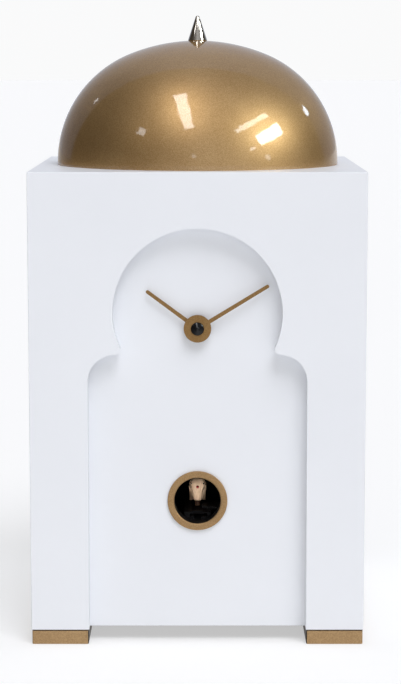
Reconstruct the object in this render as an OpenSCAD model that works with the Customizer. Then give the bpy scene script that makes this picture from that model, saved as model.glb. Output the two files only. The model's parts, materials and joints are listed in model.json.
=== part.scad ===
// Cuckoo clock: a painted square case on two runner feet. A keyhole niche in the front shows the hands and
// the round port of the bird, and a metallic dome with a cone finial stands on the top.
// Millimetres, +Z up. The front faces -Y and the origin is on the floor under the middle of the case.

/* [Case] */
// Width of the case, left to right
body_w = 250; // [246:1:260]
// Depth of the case, front to back
body_d = 250; // [246:1:260]
// Height of the case without its feet
body_h = 344.4; // [342:0.2:350]
// Thickness of the case boards
board_t = 12; // [11:0.5:13]
// Thickness of the dial panel at the back of the niche
panel_t = 8; // [7:0.5:8]
// Width of each runner foot
foot_w = 42.5; // [38:0.5:46]
// Height of the runner feet
foot_h = 11; // [9:0.5:14]
// How far the feet stand in from the case sides
foot_inset = 0.5; // [0:0.5:3]

/* [Niche] */
// Half width of the straight lower part of the niche
niche_half_w = 81.5; // [78:0.5:84]
// Height of the shoulders of the niche above the floor
shoulder_z = 220.5; // [218:0.5:222]
// Radius of the shoulder corners
shoulder_r = 20.5; // [16:0.5:22]
// Radius of the round head of the niche
head_r = 63; // [60:0.5:66]
// Height of the middle of the round head above the floor
head_z = 251; // [248:0.5:253]
// Radius of the fillets between the head and the shoulders
neck_r = 4; // [3:0.5:5]

/* [Dome] */
// Outer radius of the dome at its foot
dome_r = 110.5; // [106:0.5:114]
// Height of the dome
dome_h = 96.3; // [92:0.1:100]
// Radius of the lower arc of the dome
dome_side_r = 91.5; // [88:0.5:92]
// Height of the middle of the lower arc above the case
dome_side_z = 1.1; // [0:0.1:2]
// Thickness of the dome shell
dome_t = 1.8; // [1.2:0.1:2]
// Thickness of the disc that centres the dome
disc_t = 10; // [8:1:12]
// Radius of the foot of the finial
finial_r = 7.5; // [6.5:0.5:8]
// Height of the finial
finial_h = 19.6; // [16:0.2:24]
// Radius of the rounded tip of the finial
finial_tip_r = 1.7; // [1:0.1:2]

/* [Hands] */
// Height of the hands' axis above the floor
axis_z = 239; // [237:0.5:241]
// Length of the minute hand from the axis to its tip
minute_l = 62; // [54:0.5:64]
// Length of the hour hand from the axis to its tip
hour_l = 47.3; // [40:0.1:50]
// Width of both hands
hand_w = 2.6; // [2:0.1:3]
// Thickness of both hands
hand_t = 0.6; // [0.5:0.1:0.7]
// Radius of the round hubs of the hands
hub_r = 10.2; // [9:0.1:11]
// Direction of the minute hand, clockwise from twelve
minute_angle = 58.6; // [0:0.1:360]
// Direction of the hour hand, clockwise from twelve
hour_angle = 306.5; // [0:0.1:360]
// Radius of the cap nut over the hubs
cap_r = 4.9; // [4:0.1:5.5]

/* [Bird port] */
// Height of the middle of the port above the floor
port_z = 108; // [106:0.5:110]
// Outer radius of the ring around the port
ring_outer_r = 22.5; // [21:0.5:24]
// Inner radius of the ring
ring_inner_r = 17.5; // [17.5:0.1:18]
// How far the ring stands out of the dial panel
ring_t = 2; // [1.5:0.5:3]

/* [Clock movement] */
// Side of the square movement case
mov_w = 56; // [55:0.5:58]
// Depth of the movement case
mov_t = 16; // [16:0.5:18]
// Wall of the movement case
mov_wall = 1.5; // [1.5:0.1:1.6]
// Radius of the knob that sets the hands
knob_r = 6; // [5:0.5:7]

/* [Cuckoo unit] */
// How far the bird comes out
bird_travel = 55; // [40:1:55]
// Height of the underside of the bird's sliding platform
slide_z = 93; // [93:0.1:93.2]
// Thickness of the sliding platform
slide_t = 2.5; // [2:0.1:2.6]
// Wall of the unit's housing
house_wall = 2; // [2:0.5:3]

/* [Back] */
// Thickness of the back cover
cover_t = 4; // [4:0.5:4.5]
// How far the back cover is set in from the back edge of the case
cover_inset = 4; // [4:0.5:6]
// Section of the battens that hold the back cover
batten_w = 12; // [10:1:14]
// Height of the middle of the loudspeaker
speaker_z = 232; // [228:1:238]
// Radius of the loudspeaker
speaker_r = 28.5; // [26:0.5:30]

/* [Hidden] */
$fn = 96;

// Small step that makes a cut run past a face
cut = 1;
// Running clearance of a shaft in its bore, on the radius
run = 0.05;

// Faces of the case
front_y = -body_d / 2;
back_y = body_d / 2;
case_z = foot_h;
top_z = foot_h + body_h;
inner_w = body_w - 2 * board_t;
panel_y = front_y + board_t;
panel_back_y = panel_y + panel_t;
cover_y = back_y - cover_inset - cover_t;
cover_face_y = cover_y + cover_t;
inner_top_z = top_z - board_t;
inner_bottom_z = case_z + board_t;

// The dome's profile is two arcs that meet with one tangent
dome_side_x = dome_r - dome_side_r;
dome_reach = dome_h - dome_side_r;
dome_drop = (dome_reach * dome_reach - dome_side_x * dome_side_x - dome_side_z * dome_side_z)
    / (2 * dome_reach - 2 * dome_side_z);
dome_top_r = dome_h - dome_drop;
dome_meet = atan2(dome_side_z - dome_drop, dome_side_x);
// The apex is flattened by this much, as a seat for the finial
dome_flat = 0.25;
finial_z = top_z + dome_h - dome_flat;
rod_r = 2;
rod_low_z = inner_top_z - 9;
rod_high_z = finial_z + 8;
nut_t = 3.2;
flange_t = 1;

// The movement, front to back, and the layers of its gears behind the inside of the front wall
seal_t = 1;
mov_y = panel_back_y + seal_t;
mov_in_y = mov_y + mov_wall;
mov_back_y = mov_y + mov_t;
mov_split_y = mov_y + mov_t / 2;
mov_in_back_y = mov_back_y - mov_wall;
pivot_depth = 0.9;
pivot_end = 0.8;
pivot_r = 0.4;
bush_r = 4;
hour_tube_r = 2.5;
minute_arbor_r = 1.6;
bush_end_y = panel_y - 3;
hour_hand_y = panel_y - 4.4;
minute_hand_y = hour_hand_y - 1.8;
hour_layer = mov_in_y + 0.3;
motion_layer = mov_in_y + 1.5;
centre_layer = mov_in_y + 3.3;
third_layer = mov_in_y + 5.1;
seconds_layer = mov_in_y + 6.7;
fifth_layer = mov_in_y + 8.3;
stator_layer = mov_in_y + 10.2;
knob_y = mov_back_y + 0.6;
knob_t = 6;

// Teeth and modules of the train
motion_m = 0.4;
cannon_n = 15;
minute_n = 45;
minute_pinion_n = 12;
hour_n = 48;
knob_n = 15;
centre_m = 0.35;
centre_n = 60;
fine_m = 0.25;
third_n = 64;
seconds_n = 48;
rotor_m = 0.2;
fifth_n = 50;
leaf_n = 8;
rotor_n = 10;
// Height of the teeth above the pitch circle, in modules: short on wheels that drive small pinions
wheel_add = 0.45;
leaf_add = 1;
motion_add = 0.75;
// Directions from each axis to the next, and the axes themselves, seen from the front
minute_dir = 135;
knob_dir = 135;
third_dir = -45;
seconds_dir = 45;
fifth_dir = 80;
rotor_dir = 90;
centre_p = [0, 0];
minute_p = centre_p + reach(motion_m, cannon_n + minute_n, minute_dir);
knob_p = minute_p + reach(motion_m, minute_n + knob_n, knob_dir);
third_p = centre_p + reach(centre_m, centre_n + leaf_n, third_dir);
seconds_p = third_p + reach(fine_m, third_n + leaf_n, seconds_dir);
fifth_p = seconds_p + reach(fine_m, seconds_n + leaf_n, fifth_dir);
rotor_p = fifth_p + reach(rotor_m, fifth_n + rotor_n, rotor_dir);
magnet_r = 2.5;
stator_gap = 0.5;

// The cuckoo unit
rack_m = 0.8;
drive_n = 16;
drive_gear_n = 40;
drive_gear_m = 0.5;
motor_n = 10;
rack_x = 6.8;
rack_add = 0.8;
drive_x = rack_x + rack_m * drive_n / 2;
drive_y = front_y + 45;
motor_x = drive_x + drive_gear_m * (drive_gear_n + motor_n) / 2;
drive_post_r = 1.5;
motor_shaft_r = 1;
shaft_depth = 10;
motor_r = 10;
motor_h = 24;
slide_front_y = front_y + 33;
slide_back_y = slide_front_y + 68;
slide_w = 6;
slide_top_z = slide_z + slide_t;
slip = 0.1;
house_x0 = -26;
house_x1 = 36;
house_z0 = port_z - 20;
house_z1 = port_z + 26;
house_y1 = slide_back_y + 6;
collar_r = 18.9;
collar_out = 1.2;
bore_r = 17.2;
peg_r = 2;
peg_y = front_y + 54;
bird_z = port_z - 0.5;
bird_front_y = front_y + 41;
bird_flat_x = 4.25;
wing_t = 2.4;
bird_head_r = 6.4;
bird_head_y = bird_front_y + bird_head_r;
bird_head_z = bird_z + 6;
eye_x = 4.45;
eye_r = 0.8;

// Back cover and what it carries
screw_r = 1.7;
screw_head_r = 3.5;
screw_x = inner_w / 2 - batten_w / 2;
screw_low_z = inner_bottom_z + batten_w / 2;
screw_high_z = inner_top_z - batten_w / 2;
screw_mid_z = (screw_low_z + screw_high_z) / 2;
board_x0 = 42;
board_x1 = 94;
board_z0 = speaker_z - 27;
board_z1 = speaker_z + 23;
board_thick = 1.6;
board_y = cover_y - 8;
control_x = (board_x0 + board_x1) / 2;
switch_z = board_z1 - 11;
volume_z = board_z0 + 15;
switch_travel = 2;
cell_r = 13.1;
cell_l = 50;
cell_pitch = 29;
box_wall = 2;
box_x = 31;
box_z = inner_bottom_z + 15;
box_h = 2 * cell_pitch + 2;
box_d = 30;
box_y = cover_y - box_d;
cell_y = cover_y - 14;
door_x = 33;
door_z = box_z - 2;
door_h = box_h + 4;
door_t = 2;
door_gap = 0.15;
door_travel = 62;
rail_w = 3;
lead_r = 1.2;
speaker_tag = 9.2;

// Leads inside the case, as points on their routes
battery_route = [
    [box_x, box_y + 6, box_z + 30], [box_x + 6, box_y + 6, box_z + 31], [box_x + 16, box_y + 8, box_z + 36],
    [box_x + 28, box_y + 12, box_z + 50], [box_x + 36, box_y + 16, box_z + 80],
    [box_x + 39, box_y + 18, box_z + 110], [box_x + 39, box_y + 18, box_z + 140], [70, 103, 192],
    [70, 102.5, 203], [70, 103.5, 211], [70, 107, 213], [70, board_y, 213]
];
speaker_route = [
    [20, cover_y - speaker_tag, speaker_z], [20, cover_y - speaker_tag - 1.6, speaker_z],
    [21.5, 103.6, speaker_z - 0.5], [25, 101, speaker_z - 1.5], [33, 98.8, speaker_z - 3],
    [42, 98.5, speaker_z - 5], [48, 99, speaker_z - 6], [52, 102, speaker_z - 6],
    [53, 106, speaker_z - 6], [53, board_y, speaker_z - 6]
];
movement_route = [
    [-20, mov_back_y, 222], [-20, -82, 222], [-20, -75, 221], [-21, -66, 216], [-23, -55, 205],
    [-26, -40, 188], [-28, -22, 174], [-28, 0, 165], [-22, 22, 163], [-10, 44, 168], [8, 62, 178],
    [28, 76, 192], [46, 86, 206], [58, 94, 215], [61, 100, 218], [62, 105, 219], [62, board_y, 219]
];
motor_route = [
    [motor_x, drive_y, house_z0 - motor_h], [motor_x, drive_y, 58], [32, -74, 50], [44, -62, 44],
    [60, -44, 40], [74, -20, 38], [82, 10, 40], [84, 40, 52], [83, 66, 80], [80, 84, 120], [78, 94, 160],
    [77, 99, 190], [77, 103, 206], [77, 106, 210], [77, board_y, 210]
];

// Step between two meshing axes
function reach(m, teeth, dir) = m * teeth / 2 * [cos(dir), sin(dir)];

// Angle of a tooth of the second gear, so that it meshes with a first gear whose tooth is at angle a1
function mesh_phase(a1, n1, n2, dir) = dir + 180 - (a1 - dir) * n1 / n2 - 180 / n2;

// Involute gear outline with a 20 degree pressure angle, one tooth centred on angle 0
pressure = 20;
flank_slack = 0.16;
function inv(a) = tan(a) * 180 / PI - a;
function base_r(n, m) = m * n / 2 * cos(pressure);
function root_r(n, m) = min(m * n / 2 - 1.25 * m, base_r(n, m) * 0.995);
function half_tooth(n, m, r) =
    90 / n - flank_slack / n * 90 / PI + inv(pressure)
    - (r > base_r(n, m) ? inv(acos(base_r(n, m) / r)) : 0);
function polar(r, a) = r * [cos(a), sin(a)];
function gear_outline(n, m, add) =
    let (tip = m * n / 2 + add * m, rb = base_r(n, m), steps = [root_r(n, m), rb, (rb + tip) / 2, tip])
    [for (i = [0 : n - 1]) for (k = [-4 : 3])
        let (r = steps[k < 0 ? k + 4 : 3 - k], side = k < 0 ? -1 : 1)
        polar(r, i * 360 / n + side * half_tooth(n, m, r))];

// A gear of thickness t with its lowest face at z = 0
module gear(n, m, t, add, phase = 0, bore = 0) {
    rotate(phase)
        linear_extrude(t)
            difference() {
                polygon(gear_outline(n, m, add));
                if (bore > 0) circle(r = bore, $fn = 48);
            }
}

// Puts children, drawn upwards from z = 0, on a gear axis so that they run from y towards the back
module on_axis(p, y) {
    translate([p[0], y, axis_z + p[1]])
        mirror([0, 1, 0])
            rotate([90, 0, 0]) children();
}

// A round bar along Y on a gear axis, from y0 to y1
module bar_on_axis(p, r, y0, y1) {
    on_axis(p, y0) cylinder(r = r, h = y1 - y0, $fn = 48);
}

// An arbor with a pivot in each wall of the movement
module arbor(p, r) {
    bar_on_axis(p, pivot_r, mov_in_y - pivot_end, mov_in_back_y + pivot_end);
    bar_on_axis(p, r, mov_in_y + 0.2, mov_in_back_y - 0.2);
}

// The blind holes of the movement's arbors, bored into a wall at y
module pivot_holes(y) {
    for (p = [minute_p, third_p, seconds_p, fifth_p, rotor_p])
        bar_on_axis(p, pivot_r + run, y - pivot_depth, y + pivot_depth);
}

// A flat outline in the XZ plane, as a plate from y to y + t
module plate(y, t) {
    translate([0, y, 0])
        mirror([0, 1, 0])
            rotate([90, 0, 0]) linear_extrude(t) children();
}

// A box between two opposite corners
module block(low, high) {
    translate(low) cube(high - low);
}

// A round bar along Y at x and z, from y0 to y1
module pin_y(x, z, r, y0, y1) {
    translate([x, y0, z]) rotate([-90, 0, 0]) cylinder(r = r, h = y1 - y0, $fn = 48);
}

// A smooth tube through points, which turns its section as little as it can
function unit(v) = v / norm(v);
function heading(pts, i) = unit(pts[min(i + 1, len(pts) - 1)] - pts[max(i - 1, 0)]);
function side_of(h) = unit(cross(h, abs(h[2]) > 0.9 ? [1, 0, 0] : [0, 0, 1]));
function curve_point(a, b, c, d, t) =
    0.5 * (2 * b + (c - a) * t + (2 * a - 5 * b + 4 * c - d) * t * t + (3 * b - a - 3 * c + d) * t * t * t);
function curve(pts, steps) = let (n = len(pts) - 1)
    concat([for (i = [0 : n - 1]) for (s = [0 : steps - 1])
        curve_point(pts[max(i - 1, 0)], pts[i], pts[i + 1], pts[min(i + 2, n)], s / steps)], [pts[n]]);
module tube(route, r, steps = 3, sides = 8) {
    pts = curve(route, steps);
    rings = len(pts);
    points = [for (i = [0 : rings - 1])
        let (h = heading(pts, i), s = side_of(h), u = cross(s, h))
        for (k = [0 : sides - 1]) pts[i] + r * (cos(k * 360 / sides) * s + sin(k * 360 / sides) * u)];
    walls = [for (i = [0 : rings - 2]) for (k = [0 : sides - 1])
        let (a = i * sides + k, b = i * sides + (k + 1) % sides) each [[a, b, b + sides], [a, b + sides, a + sides]]];
    first = [for (k = [1 : sides - 2]) [0, k + 1, k]];
    last = (rings - 1) * sides;
    ending = [for (k = [1 : sides - 2]) [last, last + k, last + k + 1]];
    polyhedron(points = points, faces = concat(walls, first, ending));
}

// The keyhole outline of the niche in the XZ plane, open at the bottom of the case
module niche_outline() {
    inner_x = niche_half_w - shoulder_r;
    lift = sqrt(pow(head_r + neck_r, 2) - inner_x * inner_x);
    neck_z = max(shoulder_z + neck_r, head_z - lift);
    touch = head_r / (head_r + neck_r);
    touch_x = inner_x * touch;
    touch_z = head_z + (neck_z - head_z) * touch;
    translate([-niche_half_w, case_z - cut]) square([2 * niche_half_w, shoulder_z - shoulder_r - case_z + cut]);
    translate([-inner_x, case_z]) square([2 * inner_x, shoulder_z - case_z]);
    for (s = [-1, 1])
        translate([s * inner_x, shoulder_z - shoulder_r]) circle(r = shoulder_r);
    translate([0, head_z]) circle(r = head_r);
    difference() {
        polygon([[-inner_x, shoulder_z - cut], [inner_x, shoulder_z - cut], [inner_x, shoulder_z],
            [touch_x, touch_z], [-touch_x, touch_z], [-inner_x, shoulder_z]]);
        for (s = [-1, 1])
            translate([s * inner_x, neck_z]) circle(r = neck_r);
    }
}

module front_fascia() {
    color("ghostwhite")
        plate(front_y, board_t)
            difference() {
                translate([-body_w / 2, case_z]) square([body_w, body_h]);
                niche_outline();
            }
}

module dial_panel() {
    color("ghostwhite")
        plate(panel_y, panel_t)
            difference() {
                translate([-inner_w / 2, case_z]) square([inner_w, inner_top_z - case_z]);
                translate([0, axis_z]) circle(r = bush_r + run);
                translate([0, port_z]) circle(r = collar_r + run);
            }
}

module side_board(s) {
    color("ghostwhite")
        block([s > 0 ? inner_w / 2 : -body_w / 2, panel_y, case_z],
            [s > 0 ? body_w / 2 : -inner_w / 2, back_y, top_z]);
}

module side_left() {
    side_board(-1);
}

module side_right() {
    side_board(1);
}

module top_panel() {
    color("ghostwhite")
        difference() {
            block([-inner_w / 2, panel_y, inner_top_z], [inner_w / 2, back_y, top_z]);
            translate([0, 0, inner_top_z - cut]) cylinder(r = rod_r + 0.2, h = board_t + 2 * cut);
        }
}

module bottom_panel() {
    color("ghostwhite")
        block([-inner_w / 2, panel_back_y, case_z], [inner_w / 2, back_y, inner_bottom_z]);
}

// Where the screws of the back cover stand, as [x, z]
screw_places = [for (s = [-1, 1]) for (z = [screw_low_z, screw_mid_z, screw_high_z]) [s * screw_x, z]];

module back_battens() {
    y = cover_y - batten_w;
    color("burlywood")
        difference() {
            union() {
                for (s = [-1, 1])
                    translate([s * (inner_w - batten_w) / 2 - batten_w / 2, y, inner_bottom_z])
                        cube([batten_w, batten_w, inner_top_z - inner_bottom_z]);
                for (z = [inner_bottom_z, inner_top_z - batten_w])
                    block([-inner_w / 2 + batten_w, y, z], [inner_w / 2 - batten_w, cover_y, z + batten_w]);
            }
            for (p = screw_places) pin_y(p[0], p[1], screw_r, y + 2, cover_y + cut);
        }
}

module back_cover() {
    grille_rings = 3;
    grille_pitch = 7;
    grille_hole_r = 1.9;
    difference() {
        union() {
            color("dimgray")
                block([-inner_w / 2, cover_y, inner_bottom_z], [inner_w / 2, cover_face_y, inner_top_z]);
            // Two rails that hold the battery door at its edges
            for (s = [-1, 1])
                translate([s * (door_x + rail_w / 2), 0, door_z]) {
                    translate([-rail_w / 2 + (s > 0 ? door_gap : 0), cover_face_y, 0])
                        cube([rail_w - door_gap, door_t + 2 * door_gap + 0.8, door_h + door_travel]);
                    translate([-rail_w / 2 - (s > 0 ? 1 : 0), cover_face_y + door_t + 2 * door_gap, 0])
                        cube([rail_w + 1, 0.8, door_h + door_travel]);
                }
        }
        for (p = screw_places) pin_y(p[0], p[1], screw_r + 0.1, cover_y - cut, cover_face_y + cut);
        block([-box_x + box_wall, cover_y - cut, box_z + box_wall],
            [box_x - box_wall, cover_face_y + cut, box_z + box_h - box_wall]);
        pin_y(0, speaker_z, grille_hole_r, cover_y - cut, cover_face_y + cut);
        for (ring = [1 : grille_rings]) for (i = [0 : 6 * ring - 1])
            pin_y(grille_pitch * ring * cos(i * 60 / ring), speaker_z + grille_pitch * ring * sin(i * 60 / ring),
                grille_hole_r, cover_y - cut, cover_face_y + cut);
        block([control_x - 5 - switch_travel, cover_y - cut, switch_z - 2.4],
            [control_x + 5 + switch_travel, cover_face_y + cut, switch_z + 2.4]);
        pin_y(control_x, volume_z, 3.3, cover_y - cut, cover_face_y + cut);
    }
}

module back_cover_screws() {
    color("silver")
        for (p = screw_places)
            difference() {
                union() {
                    pin_y(p[0], p[1], screw_r, cover_y - batten_w + 2, cover_face_y + 0.5);
                    pin_y(p[0], p[1], screw_head_r, cover_face_y, cover_face_y + 2.2);
                }
                for (a = [0, 90])
                    translate([p[0], cover_face_y + 2.2, p[1]]) rotate([0, a, 0]) cube([4.4, 2, 1], center = true);
            }
}

module foot(s) {
    outer_x = body_w / 2 - foot_inset;
    color("rosybrown")
        translate([s > 0 ? outer_x - foot_w : -outer_x, front_y + foot_inset, 0])
            cube([foot_w, body_d - 2 * foot_inset, foot_h]);
}

module foot_left() {
    foot(-1);
}

module foot_right() {
    foot(1);
}

// A pie slice from angle a0 to a1 around the origin
module wedge(a0, a1, r) {
    polygon([[0, 0], polar(r, a0), polar(r / cos((a1 - a0) / 2), (a0 + a1) / 2), polar(r, a1)]);
}

module dome_shell() {
    far = 2 * dome_top_r;
    color("tan")
        translate([0, 0, top_z])
            rotate_extrude($fn = 180)
                intersection() {
                    square([dome_r + cut, dome_h - dome_flat]);
                    difference() {
                        union() {
                            translate([dome_side_x, dome_side_z])
                                intersection() {
                                    difference() {
                                        circle(r = dome_side_r, $fn = 180);
                                        circle(r = dome_side_r - dome_t, $fn = 180);
                                    }
                                    wedge(-10, dome_meet, far);
                                }
                            translate([0, dome_drop])
                                intersection() {
                                    difference() {
                                        circle(r = dome_top_r, $fn = 180);
                                        circle(r = dome_top_r - dome_t, $fn = 180);
                                    }
                                    wedge(dome_meet, 92, far);
                                }
                        }
                        square([rod_r + 0.2, dome_h]);
                    }
                }
}

module dome_disc() {
    color("burlywood")
        translate([0, 0, top_z])
            difference() {
                cylinder(r = dome_r - dome_t - 0.7, h = disc_t, $fn = 180);
                translate([0, 0, -cut]) cylinder(r = rod_r + 0.2, h = disc_t + 2 * cut);
            }
}

module finial() {
    slope = atan2(finial_h - finial_tip_r, finial_r);
    lean = acos(finial_tip_r / norm([finial_r, finial_h - finial_tip_r]));
    start = lean - slope;
    arc = [for (i = [0 : 6]) [0, finial_h - finial_tip_r] + polar(finial_tip_r, start + (90 - start) * i / 6)];
    color("gainsboro")
        translate([0, 0, finial_z])
            difference() {
                rotate_extrude() polygon(concat([[0, 0], [finial_r, 0]], arc));
                translate([0, 0, -cut]) cylinder(r = rod_r, h = rod_high_z - finial_z + cut);
            }
}

module tie_rod() {
    color("silver")
        translate([0, 0, rod_low_z]) cylinder(r = rod_r, h = rod_high_z - rod_low_z);
}

module tie_rod_nut() {
    color("silver")
        translate([0, 0, inner_top_z - nut_t - flange_t])
            difference() {
                union() {
                    cylinder(r = 4.04, h = nut_t, $fn = 6);
                    translate([0, 0, nut_t]) cylinder(r = 6, h = flange_t);
                }
                translate([0, 0, -cut]) cylinder(r = rod_r, h = nut_t + flange_t + 2 * cut);
            }
}

module cuckoo_ring() {
    color("tan")
        difference() {
            pin_y(0, port_z, ring_outer_r, panel_y - ring_t, panel_y);
            pin_y(0, port_z, ring_inner_r, panel_y - ring_t - cut, panel_y + cut);
            pin_y(0, port_z, collar_r, panel_y - collar_out, panel_y + cut);
        }
}

// One half of the movement case, from y0 to y1, hollow to in_y0 and in_y1
module movement_half(y0, y1, in_y0, in_y1) {
    h = mov_w / 2;
    w = h - mov_wall;
    difference() {
        block([-h, y0, axis_z - h], [h, y1, axis_z + h]);
        block([-w, in_y0, axis_z - w], [w, in_y1, axis_z + w]);
    }
}

module movement_front() {
    color("darkslategray")
        difference() {
            union() {
                movement_half(mov_y, mov_split_y, mov_in_y, mov_split_y + cut);
                bar_on_axis(centre_p, bush_r, bush_end_y, mov_in_y);
                bar_on_axis(knob_p, 2.4, mov_in_y - 0.5, mov_in_y + 0.4);
            }
            bar_on_axis(centre_p, hour_tube_r + run, bush_end_y - cut, mov_in_y + cut);
            bar_on_axis(knob_p, pivot_r + 0.6 + run, mov_in_y - pivot_depth, mov_in_y + cut);
            pivot_holes(mov_in_y);
        }
}

module movement_back() {
    color("darkslategray")
        difference() {
            union() {
                movement_half(mov_split_y, mov_back_y, mov_split_y - cut, mov_in_back_y);
                // Pillars under the stator and the circuit board
                for (p = [[-10.5, 20], [18.5, 20]])
                    bar_on_axis(p, 1.2, stator_layer + 0.8, mov_in_back_y + 0.5);
                for (p = [[-22, -22], [-6, -22]])
                    bar_on_axis(p, 1.2, stator_layer + 1, mov_in_back_y + 0.5);
            }
            bar_on_axis(centre_p, pivot_r + 0.4 + run, mov_in_back_y - cut, mov_in_back_y + pivot_depth);
            bar_on_axis(knob_p, 1.5 + run, mov_in_back_y - cut, mov_back_y + cut);
            pivot_holes(mov_in_back_y);
        }
}

module movement_washer() {
    color("black")
        difference() {
            bar_on_axis(centre_p, 11, panel_back_y, mov_y);
            bar_on_axis(centre_p, bush_r, panel_back_y - cut, mov_y + cut);
        }
}

module fixing_nut() {
    rim_t = 0.5;
    color("goldenrod")
        difference() {
            union() {
                on_axis(centre_p, panel_y - 2.4) cylinder(r = 6.35, h = 2.4 - rim_t, $fn = 6);
                bar_on_axis(centre_p, 8, panel_y - rim_t, panel_y);
            }
            bar_on_axis(centre_p, bush_r, panel_y - 3, panel_y + cut);
        }
}

module movement_stator() {
    right_x = rotor_p[0] + 5;
    left_x = -12;
    high = 21.5;
    color("lightgray")
        plate(stator_layer, 0.8)
            translate([0, axis_z])
                difference() {
                    union() {
                        translate([rotor_p[0] - 5.5, rotor_p[1] - 5]) square([10.5, high - rotor_p[1] + 5]);
                        translate([left_x, high - 3]) square([right_x - left_x, 3]);
                        translate([left_x, 9.8]) square([3, high - 9.8]);
                        translate([left_x, 9.8]) square([right_x - 8 - left_x, 2.7]);
                    }
                    translate(rotor_p) circle(r = magnet_r + stator_gap);
                }
}

module movement_coil() {
    color("peru")
        difference() {
            union() {
                block([-7, stator_layer - 1.9, axis_z + 16.2], [9, stator_layer + 2.7, axis_z + 23.8]);
                for (x = [-8, 9])
                    block([x, stator_layer - 2.1, axis_z + 15.8], [x + 1, stator_layer + 2.75, axis_z + 24.2]);
            }
            block([-9, stator_layer, axis_z + 18.5], [11, stator_layer + 0.8, axis_z + 21.5]);
        }
}

module movement_board() {
    y = stator_layer;
    color("darkgreen") {
        block([-25, y, axis_z - 25], [-3, y + 1, axis_z - 6]);
        block([-22, y + 0.9, axis_z - 14], [-16, y + 2.2, axis_z - 8]);
        translate([-14, y + 1.9, axis_z - 20]) rotate([0, 90, 0]) cylinder(r = 1, h = 7, $fn = 32);
    }
}

module minute_arbor() {
    color("goldenrod") {
        bar_on_axis(centre_p, 1.1, minute_hand_y - 1.9, minute_hand_y + hand_t);
        bar_on_axis(centre_p, minute_arbor_r, minute_hand_y + hand_t, motion_layer + 1);
        on_axis(centre_p, motion_layer - 0.1) gear(cannon_n, motion_m, 1.2, motion_add);
        bar_on_axis(centre_p, 1.1, motion_layer, mov_in_back_y - 0.2);
        bar_on_axis(centre_p, pivot_r + 0.4, mov_in_back_y - 0.3, mov_in_back_y + pivot_end);
    }
}

module centre_wheel() {
    color("ivory") on_axis(centre_p, centre_layer) gear(centre_n, centre_m, 0.8, wheel_add, 0, 1.1);
}

// A hand: a round hub with a straight blade, pointing clockwise from twelve by the angle
module hand(y, length, angle, hole) {
    plate(y, hand_t)
        translate([0, axis_z])
            rotate(-angle)
                difference() {
                    union() {
                        circle(r = hub_r);
                        translate([-hand_w / 2, 0]) square([hand_w, length - hand_w / 2]);
                        translate([0, length - hand_w / 2]) circle(r = hand_w / 2, $fn = 32);
                    }
                    circle(r = hole, $fn = 48);
                }
}

module minute_hand() {
    color("peru") hand(minute_hand_y, minute_l, minute_angle, 1.1);
}

module hand_nut() {
    color("black")
        translate([0, minute_hand_y, axis_z])
            rotate([90, 0, 0])
                difference() {
                    rotate_extrude()
                        polygon([[0, 0], [cap_r, 0], [cap_r, 0.8], [cap_r - 0.4, 1.2], [1, 2.9], [0, 3]]);
                    translate([0, 0, -cut]) cylinder(r = 1.1, h = 1.9 + cut, $fn = 48);
                }
}

module hour_wheel() {
    color("ivory")
        difference() {
            union() {
                on_axis(centre_p, hour_layer)
                    gear(hour_n, motion_m, 0.9, motion_add, mesh_phase(0, minute_pinion_n, hour_n, minute_dir + 180));
                bar_on_axis(centre_p, hour_tube_r, hour_hand_y, hour_layer + 0.9);
            }
            bar_on_axis(centre_p, minute_arbor_r + run, hour_hand_y - cut, hour_layer + 0.9 + cut);
        }
}

module hour_hand() {
    color("peru") {
        hand(hour_hand_y, hour_l, hour_angle, hour_tube_r);
        difference() {
            bar_on_axis(centre_p, 3.6, hour_hand_y + hand_t - 0.1, hour_hand_y + hand_t + 0.6);
            bar_on_axis(centre_p, hour_tube_r, hour_hand_y - cut, hour_hand_y + 2);
        }
    }
}

module minute_wheel() {
    color("ivory") {
        arbor(minute_p, 0.9);
        on_axis(minute_p, motion_layer)
            gear(minute_n, motion_m, 0.9, motion_add, mesh_phase(0, cannon_n, minute_n, minute_dir));
        on_axis(minute_p, hour_layer - 0.05) gear(minute_pinion_n, motion_m, 1.4, motion_add);
    }
}

module setting_knob() {
    minute_phase = mesh_phase(0, cannon_n, minute_n, minute_dir);
    grips = 24;
    color("ivory") {
        bar_on_axis(knob_p, pivot_r + 0.6, mov_in_y - pivot_end, motion_layer);
        on_axis(knob_p, motion_layer)
            gear(knob_n, motion_m, 0.9, motion_add, mesh_phase(minute_phase, minute_n, knob_n, knob_dir));
        bar_on_axis(knob_p, 1.5, motion_layer, knob_y + 1);
        difference() {
            bar_on_axis(knob_p, knob_r, knob_y, knob_y + knob_t);
            for (i = [0 : grips - 1])
                bar_on_axis(knob_p + polar(knob_r + 0.35, i * 360 / grips), 0.6, knob_y + 1.5, knob_y + knob_t + cut);
        }
    }
}

// A wheel and its driven leaf pinion on one arbor
module train_wheel(p, arbor_r, leaf_y, leaf_m, phase, wheel_y, wheel_n, wheel_m) {
    color("ivory") {
        arbor(p, arbor_r);
        on_axis(p, leaf_y - 0.2) gear(leaf_n, leaf_m, 1.1, leaf_add, phase);
        on_axis(p, wheel_y) gear(wheel_n, wheel_m, 0.6, wheel_add);
    }
}

module third_wheel() {
    train_wheel(third_p, 0.6, centre_layer, centre_m, mesh_phase(0, centre_n, leaf_n, third_dir),
        third_layer, third_n, fine_m);
}

module seconds_wheel() {
    train_wheel(seconds_p, 0.5, third_layer, fine_m, mesh_phase(0, third_n, leaf_n, seconds_dir),
        seconds_layer, seconds_n, fine_m);
}

module fifth_wheel() {
    train_wheel(fifth_p, 0.5, seconds_layer, fine_m, mesh_phase(0, seconds_n, leaf_n, fifth_dir),
        fifth_layer, fifth_n, rotor_m);
}

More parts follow.
